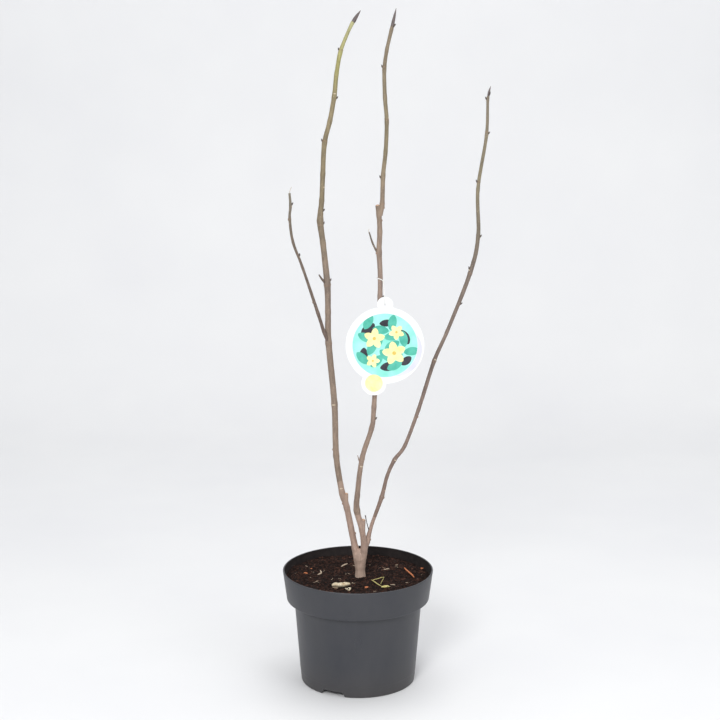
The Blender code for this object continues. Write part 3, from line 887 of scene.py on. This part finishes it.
def pot_cutters():
    """What cuts the notches in the foot ring and the drain holes in the floor."""
    tools = []
    half = NOTCH_WIDTH / 2
    low, high = block(half + NOTCH_SLANT * 1.5), block(half)
    for index, bearing in enumerate(NOTCH_BEARINGS):
        turn = math.radians(bearing)
        tools.append(cutter(f"notch_{index}", low, high, -CUTTER_SPARE, SKIRT_HEIGHT - NOTCH_BELOW,
                            before_axis(BASE_RADIUS, turn), turn))
    circle = disc(DRAIN_HOLE_RADIUS, count=DRAIN_SIDES)
    for index in range(DRAIN_HOLES):
        turn = math.radians(NOTCH_BEARINGS[0] + 360 * index / DRAIN_HOLES)
        tools.append(cutter(f"drain_{index}", circle, circle, -CUTTER_SPARE, CUTTER_SPARE,
                            before_axis(DRAIN_CIRCLE, turn, SKIRT_HEIGHT + WALL / 2)))
    return tools


def make_pot():
    points, faces = lathe(rounded(pot_corners()), POT_SIDES)
    mesh = bpy.data.meshes.new("pot_raw")
    mesh.from_pydata(points, [], faces)
    clean(mesh, 1e-6)
    raw = placed("pot_raw", mesh)
    tools = pot_cutters()
    for tool in tools:
        opening = raw.modifiers.new(tool.name, "BOOLEAN")
        opening.operation = "DIFFERENCE"
        opening.object = tool
    cut = applied(raw)
    for tool in tools:
        bpy.data.objects.remove(tool, do_unlink=True)
    cut.materials.clear()
    cut.materials.append(LOOKS["pot"])
    cut.materials.append(LOOKS["inner"])
    for face in cut.polygons:
        inward = face.normal.x * face.center.x + face.normal.y * face.center.y < -0.5 * face.center.xy.length
        face.material_index = int(inward and face.center.z > SOIL_TOP - 0.01)
    settle("pot_shell", cut, ["pot"], sharp=30)


def make_pot_marks():
    """The faint oval on the body's front, and specks of compost stuck to the collar."""
    shape = Shape("pot_marks")
    for scale, bead in OVAL_RIDGES:
        line = []
        for turn in around(OVAL_STEPS):
            height = OVAL_HEIGHT + OVAL_HALF_HEIGHT * scale * math.sin(turn)
            aside = OVAL_HALF_TURN * scale * math.cos(turn)
            line.append(before_axis(body_radius(height) + 0.00002, aside, height))
        shape.add(tube(line, np.full(OVAL_STEPS, bead), 6), tube_faces(OVAL_STEPS, 6, True), "pot")
    for bearing, height, size in SPECKS:
        up = (height - (POT_HEIGHT - COLLAR_HEIGHT)) / COLLAR_HEIGHT
        reach = COLLAR_FOOT_RADIUS + (RIM_RADIUS - COLLAR_FOOT_RADIUS) * up
        lump(shape, before_axis(reach, math.radians(bearing), height) / MM, size, "crumb", 0.5)
    shape.piece("pot_plastic", sharp=60)


# Compost

# A body of twenty faces, whose points lie one unit from its centre
GOLD = (1 + 5 ** 0.5) / 2
ICO = np.array([
    (-1, GOLD, 0), (1, GOLD, 0), (-1, -GOLD, 0), (1, -GOLD, 0), (0, -1, GOLD), (0, 1, GOLD),
    (0, -1, -GOLD), (0, 1, -GOLD), (GOLD, 0, -1), (GOLD, 0, 1), (-GOLD, 0, -1), (-GOLD, 0, 1),
]) / math.hypot(1, GOLD)
ICO_FACES = [
    (0, 11, 5), (0, 5, 1), (0, 1, 7), (0, 7, 10), (0, 10, 11), (1, 5, 9), (5, 11, 4), (11, 10, 2),
    (10, 7, 6), (7, 1, 8), (3, 9, 4), (3, 4, 2), (3, 2, 6), (3, 6, 8), (3, 8, 9), (4, 9, 5), (2, 4, 11),
    (6, 2, 10), (8, 6, 7), (9, 8, 1),
]


def turned(points, turn):
    """The points turned about the upright axis."""
    c, s = math.cos(turn), math.sin(turn)
    x, y, z = points.T
    return np.column_stack([x * c - y * s, x * s + y * c, z])


def lump(shape, centre, size, look, flat=0.75):
    """An uneven crumb about a point in millimetres."""
    stretch = np.array([dice.uniform(0.6, 1.3), dice.uniform(0.6, 1.3), flat * dice.uniform(0.6, 1.2)])
    turn = dice.uniform(0, math.pi)
    jitter = np.array([dice.uniform(0.7, 1.2) for _ in ICO])[:, None]
    points = ICO * jitter * stretch * size / 2
    shape.add((turned(points, turn) + np.asarray(centre)) * MM, ICO_FACES, look)


def from_trunk(x, y):
    return math.hypot(x - TRUNK_SIDEWAYS, y)


def soil_height(x, y):
    """Height of the compost's surface in millimetres, at a point in millimetres."""
    height = SOIL_TOP / MM
    for size, scale, seed in SOIL_WAVES:
        height += size * noise.noise(Vector((x * scale, y * scale, seed)))
    return height + MOUND_HEIGHT * math.exp(-(from_trunk(x, y) / MOUND_SPREAD) ** 2)


def make_soil():
    rings, sides = SOIL_RINGS, SOIL_SIDES
    points = [(0, 0, soil_height(0, 0) * MM)]
    for i in range(1, rings + 1):
        radius = SOIL_RADIUS / MM * i / rings
        for turn in around(sides):
            x, y = radius * math.cos(turn), radius * math.sin(turn)
            points.append((x * MM, y * MM, soil_height(x, y) * MM))
    faces = [(0, 1 + j, 1 + (j + 1) % sides) for j in range(sides)]
    for i in range(rings - 1):
        for j in range(sides):
            a, b = 1 + i * sides + j, 1 + i * sides + (j + 1) % sides
            faces.append((a, a + sides, b + sides, b))
    shape = Shape("soil_surface")
    shape.add(points, faces, "peat")
    shape.piece("compost", "soil", sharp=70)


def scattered(margin=2.0):
    """A random point on the compost, clear of the pot and the trunk."""
    reach = (SOIL_RADIUS / MM - margin) * math.sqrt(dice.random())
    turn = dice.uniform(0, 2 * math.pi)
    x, y = reach * math.cos(turn), reach * math.sin(turn)
    if from_trunk(x, y) < TRUNK_CLEARANCE:
        return scattered(margin)
    return x, y


def make_crumbs():
    shape = Shape("soil_crumbs")
    for _ in range(CRUMBS):
        x, y = scattered()
        size = 0.9 + 3.6 * dice.random() ** 3
        look = "crumb" if dice.random() < CRUMB_SHARE else "fibre"
        lump(shape, (x, y, soil_height(x, y) + size * 0.12), size, look)
    shape.piece("compost", sharp=25)


def make_fibres():
    shape = Shape("soil_fibres")
    for _ in range(FIBRES):
        x, y = scattered(6)
        turn = dice.uniform(0, 2 * math.pi)
        length = 2.5 + 9 * dice.random() ** 2
        bend = dice.uniform(-0.9, 0.9)
        line = []
        for k in range(5):
            t = k / 4 - 0.5
            a = turn + bend * t
            px, py = x + math.cos(a) * length * t, y + math.sin(a) * length * t
            line.append((px, py, soil_height(px, py) + 0.5 + dice.uniform(0, 0.9)))
        look = "straw" if dice.random() < PALE_SHARE else "fibre"
        width = dice.uniform(0.12, 0.38)
        shape.sweep(line, np.array([0.5, 1, 1, 0.9, 0.4]) * width, 4, look)
    shape.piece("compost", sharp=60)


def stick(shape, ends, width, look, lift=1.2, arch=0.0):
    """A thin stick on the compost between two points, in millimetres."""
    (ax, ay), (bx, by) = ends
    line = []
    for k in range(7):
        t = k / 6
        x, y = ax + (bx - ax) * t + arch * math.sin(math.pi * t), ay + (by - ay) * t
        line.append((x, y, soil_height(x, y) * 0.5 + 0.5 * (SOIL_TOP / MM + 1) + lift))
    girth = width / 2 * np.array([0.6, 0.9, 1, 1, 1, 0.9, 0.5])
    shape.sweep(line, girth, 8, look)


def flake(shape, centre, size, turn, curl, look, lift=0.8, ragged=0.12):
    """A thin curled leaf scrap: size is its length and width, in millimetres."""
    across, along = 7, 12
    top = []
    for i in range(along):
        t = i / (along - 1)
        wide = 1 + dice.uniform(-ragged, ragged)
        half = size[1] / 2 * (math.sin(math.pi * (0.06 + 0.9 * t)) ** 0.6) * wide
        for j in range(across):
            s = 2 * j / (across - 1) - 1
            rise = curl * (s * s) * half * 0.9 + curl * 0.5 * (t - 0.5) ** 2 * size[0]
            top.append(((t - 0.5) * size[0], s * half, rise + dice.uniform(-0.15, 0.15)))
    spun = turned(np.array(top), turn) + np.array([centre[0], centre[1], soil_height(*centre) + lift])
    count = across * along
    faces = []
    for i in range(along - 1):
        for a in range(i * across, (i + 1) * across - 1):
            patch = (a, a + 1, a + 1 + across, a + across)
            faces.append(patch)
            faces.append(tuple(count + k for k in reversed(patch)))
    rim = list(range(across)) + [i * across + across - 1 for i in range(1, along)]
    rim += [(along - 1) * across + j for j in range(across - 2, -1, -1)]
    rim += [i * across for i in range(along - 2, 0, -1)]
    for a, b in zip(rim, rim[1:] + rim[:1]):
        faces.append((b, a, a + count, b + count))
    shape.add(np.concatenate([spun, spun - np.array([0, 0, 0.35])]) * MM, faces, look)


def make_litter():
    """The scraps that lie on the compost."""
    shape = Shape("soil_litter")
    flake(shape, (-24, -47), (27, 13), 0.25, 0.9, "leaf", 1.6)
    flake(shape, (-14, -56), (10, 9), 1.9, 0.7, "leaf", 1.4)
    flake(shape, (-33, -50), (9, 7), -0.8, 0.6, "straw", 1.6)
    stick(shape, ((19.9, -18), (33.8, -45)), 1.5, "sprig", 1.8)
    stick(shape, ((20.6, -22), (38.2, -7)), 1.1, "sprig", 2.0)
    stick(shape, ((38.2, -7), (33, -34)), 0.8, "sprig", 1.8)
    flake(shape, (40, -50), (12, 8), 0.2, 0.5, "sprig", 1.2)
    stick(shape, ((69, 36), (82.2, -4.5)), 2.3, "rust", 1.4)
    flake(shape, (-77, 17), (7, 6), 0.6, 0.5, "rust")
    flake(shape, (-69.6, 36), (4, 3), 1.1, 0.4, "rust")
    stick(shape, ((-55.7, 27), (-59, 9)), 2.2, "straw", 1.0, 3.0)
    stick(shape, ((-24.9, 45), (-16, 58)), 2.0, "straw", 1.0)
    stick(shape, ((35, 29), (47, 32)), 1.0, "straw", 0.8)
    flake(shape, (44, 31), (4, 3), 0.3, 0.4, "straw")
    for k in range(5):
        a, b = (2 * math.pi * step / 5 for step in (k, k + 0.9))
        ends = [(58.7 + 4 * math.cos(turn), 47 + 7 * math.sin(turn)) for turn in (a, b)]
        stick(shape, ends, 0.9, "straw" if k % 2 else "fibre", 1.0)
    flake(shape, (-6.5, -29), (5, 3), 0.1, 0.4, "straw")
    flake(shape, (12.5, -45), (7, 5), 1.3, 0.5, "rust")
    stick(shape, ((47, -38), (54, -39)), 1.2, "straw", 0.8)
    flake(shape, (95, 36), (6, 4), 1.2, 0.6, "rust")
    for _ in range(SCRAPS):
        place = scattered(8)
        size = (dice.uniform(1.5, 4), dice.uniform(1, 2.4))
        flake(shape, place, size, dice.uniform(0, 3.1), 0.4, "fibre", 0.7)
    shape.piece("compost", sharp=40)


# Label

def fan(shape, outline, layer, look, centre=TAG_CENTRE):
    """A flat printed patch before the card, from its outline about a centre, kept inside the print."""
    front = TAG_FRONT - LAYER * layer
    inside = []
    for x, z in outline:
        shrink = PRINT_RADIUS / max(PRINT_RADIUS, math.hypot(x, z))
        inside.append((x * shrink + centre[0], z * shrink + centre[1]))
    n = len(inside)
    middle = (sum(x for x, _ in inside) / n, sum(z for _, z in inside) / n)
    points = [(x, y, z) for y in (front, front + LAYER * LAYER_DEPTH) for x, z in [middle] + inside]
    faces = []
    for k in range(n):
        a, b = 1 + k, 1 + (k + 1) % n
        faces += [(0, a, b), (n + 1, n + 1 + b, n + 1 + a), (a, n + 1 + a, n + 1 + b, b)]
    shape.add(points, faces, look)


def disc(radius, x=0.0, z=0.0, count=72):
    """Points round a circle."""
    return [(x + radius * math.cos(turn), z + radius * math.sin(turn)) for turn in around(count)]


def leaf_outline(x, z, length, width, turn, count=28):
    """A pointed oval about a point."""
    c, s = math.cos(turn), math.sin(turn)
    made = []
    for a in around(count):
        u, v = math.cos(a) * length / 2, math.sin(a) * abs(math.sin(a)) ** 0.35 * width / 2
        made.append((x + u * c - v * s, z + u * s + v * c))
    return made


def dress_card():
    """The card itself keeps its shape and gets its own material."""
    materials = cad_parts["tag"].data.materials
    materials.clear()
    materials.append(LOOKS["card"])


def make_print():
    """A mint ground with rounded leaves, dusky gaps and simple five-petal rosettes."""
    shape = Shape("label_print")
    fan(shape, disc(PRINT_RADIUS), GROUND_LAYER, "mint")
    for number, (x, z, length, width, turn) in enumerate(GAPS):
        outline = leaf_outline(x * MM, z * MM, length * MM, width * MM, turn)
        fan(shape, outline, GAP_LAYER + 0.1 * number, "dusk")
    for number in range(PRINT_LEAVES):
        turn = 2.4 * number
        reach = (10 + 2.2 * number) * MM
        outline = leaf_outline(reach * math.cos(turn), reach * math.sin(turn), *PRINT_LEAF, turn * 1.7 + 0.5)
        fan(shape, outline, LEAF_LAYER + 0.15 * number, "teal")
    for x, z, size, spin in ROSETTES:
        for petal in range(5):
            turn = spin + 2 * math.pi * petal / 5
            px, pz = (x + size * 0.5 * math.cos(turn)) * MM, (z + size * 0.5 * math.sin(turn)) * MM
            outline = leaf_outline(px, pz, size * MM, size * 0.66 * MM, turn)
            fan(shape, outline, PETAL_LAYER + 0.15 * petal, "petal")
        fan(shape, disc(size * 0.16 * MM, x * MM, z * MM, 20), HEART_LAYER, "heart")
    fan(shape, disc(ROUNDEL_RADIUS), GAP_LAYER, "petal", FOOT_TAB_CENTRE)
    shape.piece("label_card", sharp=30)


def make_painted_margin_shade():
    """Painted shade in the card's margin, low on the right: a pale lavender crescent that stands in for the
    shading where the card bends away from the light.
    """
    shape = Shape("label_margin_painted_shade")
    inner = PRINT_RADIUS + 0.0004
    front = TAG_FRONT - LAYER
    points, faces = [], []
    for k in range(SHADE_STEPS + 1):
        turn = math.radians(SHADE_START + SHADE_SWEEP * k / SHADE_STEPS)
        reach = inner + (SHADE_RADIUS - inner) * math.sin(math.pi * k / SHADE_STEPS) ** 0.7
        for radius in (inner, max(reach, inner + 0.0001)):
            x, z = TAG_CENTRE[0] + radius * math.cos(turn), TAG_CENTRE[1] + radius * math.sin(turn)
            points += [(x, front, z), (x, front + LAYER * LAYER_DEPTH, z)]
    for a in range(0, 4 * SHADE_STEPS, 4):
        b = a + 4
        faces += [(a, a + 2, b + 2, b), (a + 1, b + 1, b + 3, a + 3)]
        faces += [(a, b, b + 1, a + 1), (a + 2, a + 3, b + 3, b + 2)]
    shape.add(points, faces, "margin")
    shape.piece("label_card", sharp=30)


def make_tie():
    """The label's thin loop round the middle stem."""
    line = spline(LOOP_ROUTE, 0.8, closed=True)
    shape = Shape("label_tie_loop")
    shape.sweep(line, np.full(len(line), LOOP_RADIUS), 10, "tie", closed=True)
    shape.piece("label_tie", "tag_loop", sharp=60)


# Surroundings

def make_stage():
    """A pale floor that curves up into a backdrop."""
    round_off = STAGE_BACK - STAGE_BEND
    corners = [(STAGE_FRONT, 0.0)]
    for k in range(STAGE_STEPS + 1):
        turn = math.pi / 2 * k / STAGE_STEPS
        corners.append((STAGE_BEND + round_off * math.sin(turn), round_off - round_off * math.cos(turn)))
    corners.append((STAGE_BACK, STAGE_TOP))
    points = [(x, y, z) for y, z in corners for x in (-STAGE_HALF, STAGE_HALF)]
    faces = [(2 * k, 2 * k + 1, 2 * k + 3, 2 * k + 2) for k in range(len(corners) - 1)]
    mesh = bpy.data.meshes.new("stage")
    mesh.from_pydata(points, [], faces)
    mesh.shade_smooth()
    shader = Shader("stage_paint", roughness=0.7, specular=0.2)
    color = shader.tones(shader.noise(2, detail=3), (0.80, 0.80, 0.81), (0.84, 0.84, 0.84))
    mesh.materials.append(shader.finish(color))
    placed("stage", mesh)


def area_light(name, place, target, size, power):
    data = bpy.data.lights.new(name, "AREA")
    data.shape = "RECTANGLE"
    data.size, data.size_y = size
    data.energy = power
    lamp = placed(name, data)
    lamp.location = place
    lamp.rotation_euler = (Vector(target) - Vector(place)).to_track_quat("-Z", "Y").to_euler()


def make_light():
    world = bpy.data.worlds.new("studio")
    world.use_nodes = True
    sky = world.node_tree.nodes["Background"]
    sky.inputs["Color"].default_value = (*SKY_COLOR, 1)
    sky.inputs["Strength"].default_value = SKY_STRENGTH
    bpy.context.scene.world = world
    for row in LIGHTS:
        area_light(*row)
    bpy.context.scene.view_settings.view_transform = "Standard"


def make_camera():
    data = bpy.data.cameras.new("camera")
    data.lens = CAMERA_LENS
    data.sensor_width = CAMERA_SENSOR
    camera = placed("camera", data)
    camera.location = CAMERA_PLACE
    camera.rotation_euler = (math.radians(CAMERA_PITCH), 0, 0)
    bpy.context.scene.camera = camera


def make_wood():
    make_fork()
    for run in BARK_RUNS:
        make_limb(*run)


make_camera()
make_stage()
make_light()
make_wood()
make_growths()
make_tips()
make_cuts()
make_lenticels()
make_pot()
make_pot_marks()
make_soil()
make_crumbs()
make_fibres()
make_litter()
dress_card()
make_print()
make_painted_margin_shade()
make_tie()
